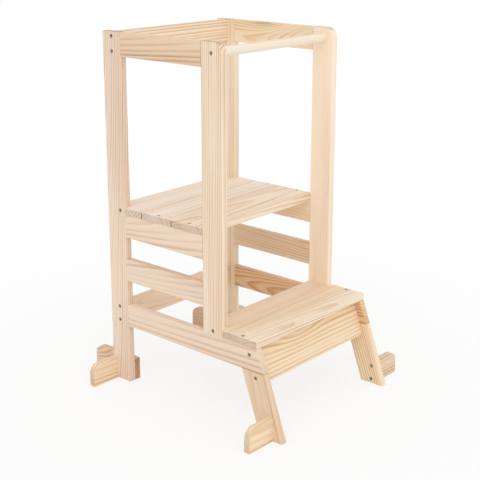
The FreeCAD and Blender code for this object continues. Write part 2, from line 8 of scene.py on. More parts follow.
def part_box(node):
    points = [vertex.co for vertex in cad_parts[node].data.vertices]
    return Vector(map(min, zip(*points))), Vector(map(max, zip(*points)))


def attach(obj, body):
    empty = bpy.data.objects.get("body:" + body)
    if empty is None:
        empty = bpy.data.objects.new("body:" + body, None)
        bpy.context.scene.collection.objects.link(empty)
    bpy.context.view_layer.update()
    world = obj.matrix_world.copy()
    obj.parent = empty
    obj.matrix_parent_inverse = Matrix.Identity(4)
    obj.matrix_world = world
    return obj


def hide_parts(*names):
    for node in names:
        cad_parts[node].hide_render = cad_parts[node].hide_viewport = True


# A toddler's kitchen helper stool of planed pine, on a pale studio floor.
# Lengths are in metres. The stool's right is +X, its front (the step) is -Y, up is +Z.

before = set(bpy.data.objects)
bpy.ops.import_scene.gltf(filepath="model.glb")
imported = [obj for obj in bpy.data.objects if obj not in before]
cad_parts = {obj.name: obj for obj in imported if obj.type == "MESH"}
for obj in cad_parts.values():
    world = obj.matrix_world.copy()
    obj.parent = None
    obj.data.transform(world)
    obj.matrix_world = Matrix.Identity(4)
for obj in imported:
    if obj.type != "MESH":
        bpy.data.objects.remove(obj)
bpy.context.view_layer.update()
MM = 0.001


# Node trees, in short words.


class Tree:
    """A node tree, with short ways to add nodes and to join their sockets."""

    def __init__(self, tree):
        self.tree = tree

    def add(self, kind, **settings):
        node = self.tree.nodes.new(kind)
        for name, setting in settings.items():
            setattr(node, name, setting)
        return node

    def join(self, source, socket):
        """Links a socket to another one, or gives it a plain value."""
        if isinstance(source, bpy.types.NodeSocket):
            self.tree.links.new(source, socket)
        else:
            socket.default_value = source

    def maths(self, operation, *values):
        node = self.add("ShaderNodeMath", operation=operation)
        for value, socket in zip(values, node.inputs):
            self.join(value, socket)
        return node.outputs[0]

    def minus(self, value):
        return self.maths("MULTIPLY", value, -1.0)

    def vectors(self, operation, *values):
        node = self.add("ShaderNodeVectorMath", operation=operation)
        for value, socket in zip(values, node.inputs):
            self.join(value, socket)
        return node.outputs["Value" if operation in ("LENGTH", "DOT_PRODUCT") else "Vector"]

    def split(self, vector):
        node = self.add("ShaderNodeSeparateXYZ")
        self.join(vector, node.inputs[0])
        return node.outputs

    def combine(self, x, y, z):
        node = self.add("ShaderNodeCombineXYZ")
        for value, socket in zip((x, y, z), node.inputs):
            self.join(value, socket)
        return node.outputs[0]

    def noise(self, place, detail=2.0, roughness=0.5):
        """Noise of one cell a unit, at a place that is already scaled."""
        node = self.add("ShaderNodeTexNoise")
        self.join(place, node.inputs["Vector"])
        node.inputs["Scale"].default_value = 1.0
        node.inputs["Detail"].default_value = detail
        node.inputs["Roughness"].default_value = roughness
        return node

    def ease(self, value, low, high):
        """Zero below low, one above high, and a smooth step between."""
        node = self.add("ShaderNodeMapRange", interpolation_type="SMOOTHSTEP")
        self.join(value, node.inputs["Value"])
        self.join(low, node.inputs["From Min"])
        self.join(high, node.inputs["From Max"])
        return node.outputs["Result"]

    def blend(self, factor, first, second, blend_type="MIX"):
        """Two colours mixed. A Mix node has a socket of each kind, so colours go by number."""
        node = self.add("ShaderNodeMix", data_type="RGBA", blend_type=blend_type)
        self.join(factor, node.inputs[0])
        self.join(first, node.inputs[6])
        self.join(second, node.inputs[7])
        return node.outputs[2]

    def bump(self, height, strength, depth, normal):
        """Lets a height lean the surface's normal by a little."""
        node = self.add("ShaderNodeBump")
        node.inputs["Strength"].default_value = strength
        node.inputs["Distance"].default_value = depth
        self.join(height, node.inputs["Height"])
        self.join(node.outputs["Normal"], normal)


def new_material(name):
    """A material with its tree and its Principled shader."""
    material = bpy.data.materials.new(name)
    material.use_nodes = True
    return material, Tree(material.node_tree), material.node_tree.nodes["Principled BSDF"]


SOCKETS = {
    "number": "NodeSocketFloat",
    "count": "NodeSocketInt",
    "vector": "NodeSocketVector",
    "colour": "NodeSocketColor",
    "shape": "NodeSocketGeometry",
    "material": "NodeSocketMaterial",
}


def new_group(name, kind, inputs, outputs):
    """A new node group with named sockets: its tree, what it is given and what it gives."""
    group = bpy.data.node_groups.new(name, kind)
    for side, sockets in (("INPUT", inputs), ("OUTPUT", outputs)):
        for socket, role in sockets.items():
            group.interface.new_socket(socket, in_out=side, socket_type=SOCKETS[role])
    tree = Tree(group)
    given = tree.add("NodeGroupInput").outputs
    return tree, given, tree.add("NodeGroupOutput").inputs


def tint(words):
    """A colour written as RRGGBB, in the linear values that a shader takes."""
    shares = [int(words[n : n + 2], 16) / 255 for n in (0, 2, 4)]
    linear = [s / 12.92 if s <= 0.04045 else ((s + 0.055) / 1.055) ** 2.4 for s in shares]
    return (*linear, 1.0)


# Pine: solid growth rings round a pith that runs along the board, then the planed surface.
# In a board's own directions X runs along the grain, Y across its width and Z through it.

# Unevenness, in cells a metre: along the grain and across it, or outwards from the pith.
PITH_WANDER = (2.2, 9.0)
FIBRES = (14.0, 900.0)
TONE_DRIFT = (1.6, 17.0)
RING_UNEVENNESS = 70.0

# Shares of a ring's width where its dark latewood starts, is full, begins to stop and is over.
LATEWOOD_STARTS, LATEWOOD_FULL, LATEWOOD_STOPS, RING_ENDS = 0.3, 0.92, 0.94, 1.0
FAINTEST_YEAR = 0.4

# A knot bends the rings further along the grain than across it, round a heart so much smaller.
KNOT_STRETCH = (0.4, 1.0, 1.0)
KNOT_TO_HEART = 3.2

# How far a face turns towards the board's end before its end grain begins and is whole.
END_GRAIN_BEGINS, END_GRAIN_WHOLE = 0.6, 0.9

# A dark mark on the end grain, measured from each edge of a stave: a glue line between staves, and
# painted gap shadow where a stave's edge meets a post.
SEAM_DARK, SEAM_FADED = 0.9 * MM, 1.8 * MM


def growth_rings():
    """Where the latewood, fibres, end grain and knot of a board lie, and the glue lines and painted
    gap shadow at its edges.
    """
    tree, given, made = new_group(
        "growth rings",
        "ShaderNodeTree",
        {
            "Board": "vector",
            "Facing": "vector",
            "Pith across": "number",
            "Pith depth": "number",
            "Ring width": "number",
            "Run-out": "number",
            "Waver": "number",
            "Knot": "vector",
            "Knot size": "number",
            "Knot swell": "number",
            "Half width": "number",
            "Seed": "number",
        },
        {
            "Latewood": "number",
            "Fibre": "number",
            "Drift": "number",
            "End grain": "number",
            "Knot heart": "number",
            "Seam": "number",
        },
    )
    board = given["Board"]
    seed = tree.combine(given["Seed"], given["Seed"], given["Seed"])

    def unevenness(cells, detail, roughness=0.5):
        along, across = cells
        scaled = tree.vectors("MULTIPLY", board, (along, across, across))
        return tree.noise(tree.vectors("ADD", scaled, seed), detail, roughness).outputs

    waver = tree.split(unevenness(PITH_WANDER, 1.0)["Color"])
    x, y, z = tree.split(board)

    def bent(place, noise):
        """A place as a pith sees it that isn't quite straight."""
        shift = tree.maths("MULTIPLY", tree.maths("SUBTRACT", noise, 0.5), given["Waver"])
        return tree.maths("ADD", place, shift)

    run_out = tree.maths("MULTIPLY", x, given["Run-out"])
    across = tree.maths("SUBTRACT", bent(y, waver[0]), given["Pith across"])
    depth = tree.maths("SUBTRACT", bent(z, waver[1]), given["Pith depth"])
    depth = tree.maths("ADD", depth, run_out)
    radius = tree.vectors("LENGTH", tree.combine(0.0, across, depth))

    from_knot = tree.vectors("SUBTRACT", board, given["Knot"])
    from_knot = tree.vectors("MULTIPLY", from_knot, KNOT_STRETCH)
    share = tree.maths("DIVIDE", tree.vectors("LENGTH", from_knot), given["Knot size"])

    def bell(value):
        """One at zero, falling away smoothly on both sides."""
        return tree.maths("EXPONENT", tree.minus(tree.maths("POWER", value, 2.0)))

    swell = tree.maths("MULTIPLY", bell(share), given["Knot swell"])
    radius = tree.maths("ADD", radius, swell)
    outwards = tree.maths("MULTIPLY", radius, RING_UNEVENNESS)
    uneven = tree.noise(tree.combine(outwards, given["Seed"], 0.0), 1.0)
    phase = tree.maths("DIVIDE", radius, given["Ring width"])
    phase = tree.maths("ADD", phase, uneven.outputs["Fac"])
    within = tree.maths("FRACT", phase)
    year = tree.add("ShaderNodeTexWhiteNoise", noise_dimensions="1D")
    whole = tree.maths("ADD", tree.maths("FLOOR", phase), given["Seed"])
    tree.join(whole, year.inputs["W"])
    growth = tree.ease(within, LATEWOOD_STARTS, LATEWOOD_FULL)
    stop = tree.maths("SUBTRACT", 1.0, tree.ease(within, LATEWOOD_STOPS, RING_ENDS))
    strength = tree.maths("MULTIPLY_ADD", year.outputs["Value"], 1 - FAINTEST_YEAR, FAINTEST_YEAR)
    latewood = tree.maths("MULTIPLY", tree.maths("MULTIPLY", growth, stop), strength)
    tree.join(latewood, made["Latewood"])

    tree.join(unevenness(FIBRES, 4.0, 0.65)["Fac"], made["Fibre"])
    tree.join(unevenness(TONE_DRIFT, 2.0)["Fac"], made["Drift"])
    end = tree.maths("ABSOLUTE", tree.split(given["Facing"])[0])
    tree.join(tree.ease(end, END_GRAIN_BEGINS, END_GRAIN_WHOLE), made["End grain"])
    tree.join(bell(tree.maths("MULTIPLY", share, KNOT_TO_HEART)), made["Knot heart"])
    # The dark at a stave's edges: glue lines, and painted gap shadow where an edge meets a post.
    from_seam = tree.maths("SUBTRACT", given["Half width"], tree.maths("ABSOLUTE", y))
    seam = tree.maths("SUBTRACT", 1.0, tree.ease(from_seam, SEAM_DARK, SEAM_FADED))
    tree.join(seam, made["Seam"])
    return tree.tree


# How much the lines fade in and out, and what drift and fibre add to them.
LINES_FADE, DRIFT_SHOWS, FIBRE_SHOWS = 2.5, 0.9, 0.8

# On end grain the lines grow by the first of these times the end strength, less the second.
END_LINES = (0.9, 0.8)

FACE_ROUGHNESS, FIBRE_ROUGHNESS, END_ROUGHNESS = 0.58, 0.3, 0.2
LATEWOOD_RELIEF = 0.6


def planed_surface():
    """The colour, the roughness and the fine relief that a board shows."""
    tree, given, made = new_group(
        "planed surface",
        "ShaderNodeTree",
        {
            "Latewood": "number",
            "Fibre": "number",
            "Drift": "number",
            "End grain": "number",
            "Knot heart": "number",
            "Line strength": "number",
            "End strength": "number",
            "Seam": "number",
            "Earlywood": "colour",
            "Latewood colour": "colour",
            "Knot colour": "colour",
            "End tint": "colour",
        },
        {"Colour": "colour", "Roughness": "number", "Height": "number"},
    )
    drift = tree.maths("SUBTRACT", given["Drift"], 0.5)
    fibre = tree.maths("SUBTRACT", given["Fibre"], 0.5)
    end = tree.maths("MULTIPLY", given["End grain"], given["End strength"])
    bold = tree.maths("MULTIPLY_ADD", drift, LINES_FADE, 1.0)
    bold = tree.maths("MULTIPLY", given["Line strength"], bold)
    bolder = tree.maths("MULTIPLY_ADD", given["End strength"], END_LINES[0], -END_LINES[1])
    bold = tree.maths("MULTIPLY_ADD", bolder, given["End grain"], bold)
    lines = tree.maths("MULTIPLY", given["Latewood"], bold)
    lines = tree.maths("MULTIPLY_ADD", fibre, FIBRE_SHOWS, lines)
    lines = tree.maths("MULTIPLY_ADD", drift, DRIFT_SHOWS, lines)
    lines = tree.maths("MAXIMUM", tree.maths("MINIMUM", lines, 1.0), 0.0)
    colour = tree.blend(lines, given["Earlywood"], given["Latewood colour"])
    colour = tree.blend(given["Knot heart"], colour, given["Knot colour"])
    colour = tree.blend(end, colour, given["End tint"], "MULTIPLY")
    # Seam darkening on the end grain, in the knot colour: glue lines and painted gap shadow.
    seam = tree.maths("MULTIPLY", given["Seam"], given["End grain"])
    colour = tree.blend(seam, colour, given["Knot colour"], "MULTIPLY")
    tree.join(colour, made["Colour"])
    rough = tree.maths("MULTIPLY_ADD", fibre, FIBRE_ROUGHNESS, FACE_ROUGHNESS)
    rough = tree.maths("MULTIPLY_ADD", given["End grain"], END_ROUGHNESS, rough)
    tree.join(rough, made["Roughness"])
    height = tree.maths("MULTIPLY_ADD", given["Latewood"], LATEWOOD_RELIEF, given["Fibre"])
    tree.join(height, made["Height"])
    return tree.tree


RINGS = growth_rings()
SURFACE = planed_surface()

# Each tone: earlywood, latewood.
TONES = {
    "cream": ("F8E6D0", "DCB98E"),
    "pale": ("F8E8D8", "DCBC9C"),
    "straw": ("F6DFC0", "D8AE7A"),
    "rose": ("F0DAC4", "CDA586"),
    "tan": ("EBD0B3", "C59A74"),
    "honey": ("EECDA8", "C48F5E"),
    # Partly heartwood and partly painted shade: darkened for the right base rail's shaded inner
    # face.
    "amber_heartwood_and_shade": ("E9C39B", "BE8552"),
    # Painted shade: a darker brown for the rear right inner foot, standing for the shade it lies in
    # under the stool.
    "painted_shade_brown": ("D8B89C", "BB8E63"),
    "blush": ("FEEAD2", "DFBB98"),
    "birch": ("F8ECD8", "E6CBAB"),
}
KNOT_COLOUR = tint("A87850")

# What darkens and greys the end grain.
END_TINT = "DCD6DA"
REAR_STAVES_END_TINT = "E4E1DF"
FRONT_STAVE_END_TINT = "E1DBDD"
STEP_END_TINT = "D8D0D2"
# The inner feet's ends are tinted darker and browner than the other end grain.
INNER_FOOT_END_TINT = "DABFAC"

# The planed wood's fine relief and its gloss.
WOOD_BUMP, WOOD_BUMP_DEPTH = 0.35, 0.2 * MM
WOOD_SPECULAR = 0.3

# Too far off to show: a knot's place, size and swell in millimetres, and half a glued width.
NO_KNOT = ((1000.0, 0.0, 0.0), 10.0, 0.0)
NOT_GLUED = 1.0

# The lean of the front legs.
SPLAY = math.radians(20)

# How a board lies: the directions of its grain, its width and its thickness.
LIES = {
    "upright": ((0, 0, 1), (0, 1, 0), (-1, 0, 0)),
    "back to front": ((0, 1, 0), (0, 0, 1), (1, 0, 0)),
    "across": ((1, 0, 0), (0, 0, 1), (0, -1, 0)),
    "flat": ((1, 0, 0), (0, 1, 0), (0, 0, 1)),
    "splayed": (
        (0, math.sin(SPLAY), math.cos(SPLAY)),
        (0, math.cos(SPLAY), -math.sin(SPLAY)),
        (-1, 0, 0),
    ),
}


def pine(
    node,
    lies,
    tone,
    pith,
    ring,
    run_out=0.0,
    waver=6.0,
    lines=0.85,
    ends=1.0,
    end_tint=END_TINT,
    glued=False,
    knot=NO_KNOT,
    seed=1.0,
):
    """The wood of one board, in millimetres and seen from the board's middle.

    pith is how far across and how deep the rings' centre lies, ring how wide a ring is, waver
    how much the pith strays, and run_out how fast the grain leaves the face. A glued stave
    shows its edges as dark marks on its ends: glue lines between staves, and painted gap
    shadow where an edge meets a post.
    """
    material, tree, shader = new_material(f"pine_{node}")
    turned = Matrix(LIES[lies]).transposed().to_euler()
    texture = tree.add("ShaderNodeTexCoord")
    board = tree.add("ShaderNodeMapping", vector_type="TEXTURE")
    tree.join(texture.outputs["Object"], board.inputs["Vector"])
    low, high = (Vector(corner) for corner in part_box(node))
    board.inputs["Location"].default_value = (low + high) / 2
    board.inputs["Rotation"].default_value = turned
    facing = tree.add("ShaderNodeVectorRotate", rotation_type="EULER_XYZ", invert=True)
    tree.join(texture.outputs["Normal"], facing.inputs["Vector"])
    facing.inputs["Rotation"].default_value = turned

    rings = tree.add("ShaderNodeGroup", node_tree=RINGS)
    tree.join(board.outputs["Vector"], rings.inputs["Board"])
    tree.join(facing.outputs["Vector"], rings.inputs["Facing"])
    knot_place, knot_size, knot_swell = knot
    for name, value in (
        ("Pith across", pith[0] * MM),
        ("Pith depth", pith[1] * MM),
        ("Ring width", ring * MM),
        ("Run-out", run_out),
        ("Waver", waver * MM),
        ("Knot", Vector(knot_place) * MM),
        ("Knot size", knot_size * MM),
        ("Knot swell", knot_swell * MM),
        ("Half width", (high[1] - low[1]) / 2 if glued else NOT_GLUED),
        ("Seed", seed),
    ):
        rings.inputs[name].default_value = value

    surface = tree.add("ShaderNodeGroup", node_tree=SURFACE)
    for output in rings.outputs:
        tree.join(output, surface.inputs[output.name])
    early, late = TONES[tone]
    surface.inputs["Line strength"].default_value = lines
    surface.inputs["End strength"].default_value = ends
    surface.inputs["Earlywood"].default_value = tint(early)
    surface.inputs["Latewood colour"].default_value = tint(late)
    surface.inputs["Knot colour"].default_value = KNOT_COLOUR
    surface.inputs["End tint"].default_value = tint(end_tint)

    tree.join(surface.outputs["Colour"], shader.inputs["Base Color"])
    tree.join(surface.outputs["Roughness"], shader.inputs["Roughness"])
    tree.bump(surface.outputs["Height"], WOOD_BUMP, WOOD_BUMP_DEPTH, shader.inputs["Normal"])
    shader.inputs["Specular IOR Level"].default_value = WOOD_SPECULAR
    return material


# The boards. A pith beside the board gives straight lines on its face, one under it gives flames.

BOARDS = {
    "rear_left_post": dict(
        lies="upright", tone="rose", pith=(40, 62), ring=5, run_out=0.05, lines=0.8, seed=3.0
    ),
    "rear_right_post": dict(
        lies="upright", tone="cream", pith=(70, 25), ring=6, run_out=0.02, lines=0.75, seed=5.0
    ),
    "front_left_post": dict(
        lies="upright", tone="cream", pith=(120, 40), ring=5, waver=2.5, lines=1.4, seed=7.0
    ),
    "front_right_post": dict(
        lies="upright", tone="blush", pith=(-110, 30), ring=5, waver=2, lines=0.45, seed=11.0
    ),
    "left_top_rail": dict(
        lies="back to front", tone="tan", pith=(40, 56), ring=7, run_out=0.05, lines=0.75, seed=13.0
    ),
    "right_top_rail": dict(
        lies="back to front",
        tone="straw",
        pith=(0, -46),
        ring=5,
        run_out=0.1,
        waver=14,
        knot=((30, 40, -10), 46, 26),
        seed=17.0,
    ),
    "left_platform_rail": dict(
        lies="back to front", tone="rose", pith=(46, 66), ring=9, run_out=0.08, lines=0.8, seed=19.0
    ),
    "right_platform_rail": dict(
        lies="back to front",
        tone="straw",
        pith=(24, -50),
        ring=6,
        run_out=0.05,
        lines=0.4,
        seed=23.0,
    ),
    "left_middle_rail": dict(
        lies="back to front", tone="rose", pith=(52, 56), ring=8, run_out=0.08, lines=0.6, seed=29.0
    ),
    "right_middle_rail": dict(
        lies="back to front", tone="tan", pith=(64, -40), ring=7, run_out=0.05, seed=31.0
    ),
    "left_base_rail": dict(
        lies="back to front",
        tone="rose",
        pith=(44, 68),
        ring=8,
        run_out=0.02,
        waver=5,
        lines=0.7,
        ends=0.2,
        seed=37.0,
    ),
    # Its amber tone is partly heartwood and partly painted shade on its inner face.
    "right_base_rail": dict(
        lies="back to front",
        tone="amber_heartwood_and_shade",
        pith=(-16, -36),
        ring=6,
        run_out=0.06,
        waver=18,
        lines=1.2,
        ends=0.0,
        seed=41.0,
    ),
    "front_left_leg": dict(
        lies="splayed", tone="tan", pith=(24, 48), ring=9, run_out=0.06, lines=0.45, seed=43.0
    ),
    "front_right_leg": dict(
        lies="splayed", tone="straw", pith=(66, -30), ring=6, run_out=0.03, lines=1.3, seed=47.0
    ),
    "rear_left_inner_foot": dict(
        lies="back to front",
        tone="tan",
        pith=(36, 44),
        ring=6,
        run_out=0.2,
        end_tint=INNER_FOOT_END_TINT,
        seed=53.0,
    ),
    # Its darker tone is painted shade, for the shade that it lies in.
    "rear_right_inner_foot": dict(
        lies="back to front",
        tone="painted_shade_brown",
        pith=(34, 40),
        ring=6,
        run_out=0.1,
        lines=0.5,
        end_tint=INNER_FOOT_END_TINT,
        seed=59.0,
    ),
    "rear_left_outrigger": dict(
        lies="across",
        tone="straw",
        pith=(36, 40),
        ring=9,
        run_out=0.06,
        lines=1.1,
        ends=0.6,
        seed=61.0,
    ),
    "rear_right_outrigger": dict(
        lies="across", tone="straw", pith=(44, 30), ring=8, ends=0.6, seed=67.0
    ),
    "front_left_outrigger": dict(
        lies="across",
        tone="straw",
        pith=(30, 46),
        ring=12,
        run_out=0.05,
        lines=0.5,
        ends=0.6,
        seed=71.0,
    ),
    "front_right_outrigger": dict(
        lies="across", tone="tan", pith=(52, 34), ring=8, ends=0.6, seed=73.0
    ),
    "back_top_rail": dict(
        lies="across", tone="cream", pith=(78, 20), ring=8, waver=4, lines=1.1, seed=79.0
    ),
    "back_lower_rail": dict(
        lies="across", tone="blush", pith=(16, 44), ring=7, run_out=0.06, lines=0.4, seed=83.0
    ),
    "front_handrail": dict(
        lies="across", tone="birch", pith=(26, 12), ring=4, lines=0.5, seed=89.0
    ),
    "platform_rear_stave": dict(
        lies="flat",
        tone="pale",
        pith=(-110, -60),
        ring=9,
        lines=1.0,
        end_tint=REAR_STAVES_END_TINT,
        glued=True,
        seed=97.0,
    ),
    "platform_middle_stave": dict(
        lies="flat",
        tone="pale",
        pith=(80, -60),
        ring=9,
        run_out=0.03,
        lines=0.9,
        end_tint=REAR_STAVES_END_TINT,
        glued=True,
        seed=101.0,
    ),
    "platform_front_stave": dict(
        lies="flat",
        tone="cream",
        pith=(20, -64),
        ring=8,
        run_out=0.04,
        lines=0.9,
        end_tint=FRONT_STAVE_END_TINT,
        glued=True,
        seed=103.0,
    ),
    "step_rear_stave": dict(
        lies="flat",
        tone="cream",
        pith=(90, -60),
        ring=6,
        lines=1.2,
        ends=0.8,
        end_tint=STEP_END_TINT,
        seed=107.0,
    ),
    "step_front_stave": dict(
        lies="flat",
        tone="cream",
        pith=(-34, -56),
        ring=6,
        run_out=0.03,
        waver=8,
        lines=1.1,
        ends=0.8,
        end_tint=STEP_END_TINT,
        seed=109.0,
    ),
    "step_apron": dict(
        lies="across",
        tone="straw",
        pith=(70, 40),
        ring=8,
        run_out=0.02,
        waver=8,
        lines=1.2,
        knot=((-40, 46, 8), 30, -16),
        seed=113.0,
    ),
}

for node, facts in BOARDS.items():
    wood = pine(node, **facts)
    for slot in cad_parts[node].material_slots:
        slot.material = wood


# Fasteners. Each set is one tree of Geometry Nodes that stands a turned shape at every place.

SAME_POINT = 0.001 * MM
SAME_LEVEL = 0.01 * MM
CLOSING_GAP = 0.005 * MM


def fasteners(node):
    """For each fastener of a CAD group: its outer end, the way that end faces, its length."""
    solid = bmesh.new()
    solid.from_mesh(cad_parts[node].data)
    bmesh.ops.remove_doubles(solid, verts=solid.verts, dist=SAME_POINT)
    waiting = set(solid.verts)
    found = []
    while waiting:
        island = [waiting.pop()]
        for vert in island:
            for edge in vert.link_edges:
                other = edge.other_vert(vert)
                if other in waiting:
                    waiting.remove(other)
                    island.append(other)
        found.append(measure([vert.co.copy() for vert in island]))
    solid.free()
    return sorted(found, key=lambda one: tuple(one[0]))


def measure(points):
    """One fastener's outer end, the one that reaches wider, the way it faces, and its length."""
    low = Vector(min(p[n] for p in points) for n in range(3))
    high = Vector(max(p[n] for p in points) for n in range(3))
    size = high - low
    axis = max(range(3), key=lambda n: size[n])
    centre = (low + high) / 2

    def reach(level):
        """How far the shape reaches from its axis at one of its ends."""
        near = [p - centre for p in points if abs(p[axis] - level) < SAME_LEVEL]
        return max(math.hypot(*(p[n] for n in range(3) if n != axis)) for p in near)

    outer = high if reach(high[axis]) > reach(low[axis]) else low
    place = centre.copy()
    place[axis] = outer[axis]
    heading = Vector((0, 0, 0))
    heading[axis] = 1 if outer is high else -1
    return place, heading, size[axis]


COLUMNS = 36
FULL_TURN = 2 * math.pi


def turned_sheet(tree, rows):
    """A flat grid to roll up into a turned shape, with its points' angles and rows from 0."""
    grid = tree.add("GeometryNodeMeshGrid")
    grid.inputs["Size X"].default_value = 1.0
    grid.inputs["Size Y"].default_value = 1.0
    grid.inputs["Vertices X"].default_value = COLUMNS + 1
    grid.inputs["Vertices Y"].default_value = rows
    x, y, _ = tree.split(tree.add("GeometryNodeInputPosition").outputs[0])
    angle = tree.maths("MULTIPLY", tree.maths("ADD", x, 0.5), FULL_TURN)
    row = tree.maths("ROUND", tree.maths("MULTIPLY", tree.maths("ADD", y, 0.5), rows - 1.0))
    return grid.outputs["Mesh"], angle, row


def pick(tree, row, choices, otherwise):
    """The value that a row has: its own choice, or the one for all later rows."""
    chosen = otherwise
    for count, choice in enumerate(choices):
        same = tree.add("FunctionNodeCompare", data_type="FLOAT", operation="EQUAL")
        tree.join(row, same.inputs[0])
        same.inputs[1].default_value = float(count)
        switch = tree.add("GeometryNodeSwitch", input_type="FLOAT")
        tree.join(same.outputs[0], switch.inputs["Switch"])
        tree.join(chosen, switch.inputs["False"])
        tree.join(choice, switch.inputs["True"])
        chosen = switch.outputs[0]
    return chosen


def stand_everywhere(tree, given, made, sheet, angle, radius, height):
    """Rolls the sheet up, closes it, and stands a copy at each place, turned at random.

    It rolls up clockwise, so that it faces outwards and its thread is right-handed.
    """
    around = tree.maths("MULTIPLY", tree.maths("COSINE", angle), radius)
    aside = tree.maths("MULTIPLY", tree.maths("SINE", tree.minus(angle)), radius)
    rolled = tree.add("GeometryNodeSetPosition")
    tree.join(sheet, rolled.inputs["Geometry"])
    tree.join(tree.combine(around, aside, height), rolled.inputs["Position"])
    closed = tree.add("GeometryNodeMergeByDistance")
    tree.join(rolled.outputs[0], closed.inputs["Geometry"])
    closed.inputs["Distance"].default_value = CLOSING_GAP

    heading = tree.add("GeometryNodeInputNamedAttribute", data_type="FLOAT_VECTOR")
    heading.inputs["Name"].default_value = "heading"
    aimed = tree.add("FunctionNodeAlignRotationToVector", axis="Z")
    tree.join(heading.outputs["Attribute"], aimed.inputs["Vector"])
    # A Random Value node has sockets for each kind: input 3 is a number's upper limit.
    turn = tree.add("FunctionNodeRandomValue", data_type="FLOAT")
    turn.inputs[3].default_value = FULL_TURN
    tree.join(given["Seed"], turn.inputs["Seed"])
    spun = tree.add("FunctionNodeAxisAngleToRotation")
    spun.inputs["Axis"].default_value = (0, 0, 1)
    tree.join(turn.outputs[1], spun.inputs["Angle"])
    rotated = tree.add("FunctionNodeRotateRotation", rotation_space="LOCAL")
    tree.join(aimed.outputs[0], rotated.inputs["Rotation"])
    tree.join(spun.outputs[0], rotated.inputs["Rotate By"])

    stood = tree.add("GeometryNodeInstanceOnPoints")
    tree.join(given["Places"], stood.inputs["Points"])
    tree.join(closed.outputs[0], stood.inputs["Instance"])
    tree.join(rotated.outputs[0], stood.inputs["Rotation"])
    real = tree.add("GeometryNodeRealizeInstances")
    tree.join(stood.outputs[0], real.inputs[0])
    finished = tree.add("GeometryNodeSetMaterial")
    tree.join(real.outputs[0], finished.inputs["Geometry"])
    tree.join(given["Material"], finished.inputs["Material"])
    tree.join(finished.outputs[0], made[0])


HEAD_ROWS = 9
THREAD_ROWS = 110

# Shares of a thread's pitch from the groove's middle: its floor ends, its crest begins.
GROOVE_ENDS, CREST_BEGINS = 0.1, 0.4
# The share of the thread's length over which it deepens, and of the shank's width at the tip.
THREAD_DEEPENS = 0.1
TIP_WIDTH = 0.55
# Where a quarter circle's middle lies, from its corner, as a share of its radius.
ROUND_MIDDLE = 1 - math.sqrt(0.5)


def screw_set():
    """Furniture screws: a flat head with a rounded rim and a hexagon socket, and a thread."""
    tree, given, made = new_group(
        "screw set",
        "GeometryNodeTree",
        {
            "Places": "shape",
            "Head diameter": "number",
            "Head height": "number",
            "Rim rounding": "number",
            "Socket width": "number",
            "Socket depth": "number",
            "Socket chamfer": "number",
            "Shank diameter": "number",
            "Length": "number",
            "Thread pitch": "number",
            "Thread depth": "number",
            "Tip length": "number",
            "Seed": "count",
            "Material": "material",
        },
        {"Screws": "shape"},
    )
    head = tree.maths("MULTIPLY", given["Head diameter"], 0.5)
    shank = tree.maths("MULTIPLY", given["Shank diameter"], 0.5)
    rim = given["Rim rounding"]
    sheet, angle, row = turned_sheet(tree, HEAD_ROWS + THREAD_ROWS + 2)

    sixth = math.pi / 3
    turn = tree.maths("SUBTRACT", tree.maths("MODULO", angle, sixth), sixth / 2)
    flat = tree.maths("MULTIPLY", given["Socket width"], 0.5)
    socket = tree.maths("DIVIDE", flat, tree.maths("COSINE", turn))
    mouth = tree.maths("ADD", socket, given["Socket chamfer"])
    top_edge = tree.maths("SUBTRACT", head, rim)
    shoulder = tree.maths("SUBTRACT", head, tree.maths("MULTIPLY", rim, ROUND_MIDDLE))

    floor = tree.minus(given["Socket depth"])
    under_head = tree.minus(given["Head height"])
    tip_top = tree.maths("SUBTRACT", given["Tip length"], given["Length"])
    share = tree.maths("DIVIDE", tree.maths("SUBTRACT", row, HEAD_ROWS), THREAD_ROWS - 1.0)
    thread_length = tree.maths("SUBTRACT", tip_top, under_head)
    depth = tree.maths("MULTIPLY_ADD", share, thread_length, under_head)
    turns = tree.maths("DIVIDE", depth, given["Thread pitch"])
    turns = tree.maths("ADD", turns, tree.maths("DIVIDE", angle, FULL_TURN))
    crest = tree.maths("PINGPONG", turns, 0.5)
    crest = tree.ease(crest, GROOVE_ENDS, CREST_BEGINS)
    groove = tree.maths("MULTIPLY", tree.maths("SUBTRACT", 1.0, crest), given["Thread depth"])
    fade = tree.maths("MULTIPLY", groove, tree.ease(share, 0.0, THREAD_DEEPENS))
    thread = tree.maths("SUBTRACT", shank, fade)
    in_thread = tree.maths("LESS_THAN", row, HEAD_ROWS + THREAD_ROWS - 0.5)
    past_thread = tree.maths("SUBTRACT", 1.0, in_thread)
    at_tip = tree.maths("LESS_THAN", row, HEAD_ROWS + THREAD_ROWS + 0.5)
    blunt = tree.maths("MULTIPLY", tree.maths("MULTIPLY", shank, TIP_WIDTH), at_tip)
    tail = tree.maths("MULTIPLY", past_thread, blunt)
    thread = tree.maths("MULTIPLY_ADD", thread, in_thread, tail)
    ended = tree.maths("MULTIPLY", past_thread, tree.minus(given["Length"]))
    depth = tree.maths("MULTIPLY_ADD", depth, in_thread, ended)

    # The head's rows: socket floor, its edge, socket wall, chamfer, top, rim, side, underside.
    chamfer = tree.minus(given["Socket chamfer"])
    eased = tree.minus(tree.maths("MULTIPLY", rim, ROUND_MIDDLE))
    radii = (0.0, socket, socket, mouth, top_edge, shoulder, head, head, shank)
    heights = (floor, floor, chamfer, 0.0, 0.0, eased, tree.minus(rim), under_head, under_head)
    radius = pick(tree, row, radii, thread)
    height = pick(tree, row, heights, depth)
    stand_everywhere(tree, given, made, sheet, angle, radius, height)
    return tree.tree


PIN_ROWS = 6


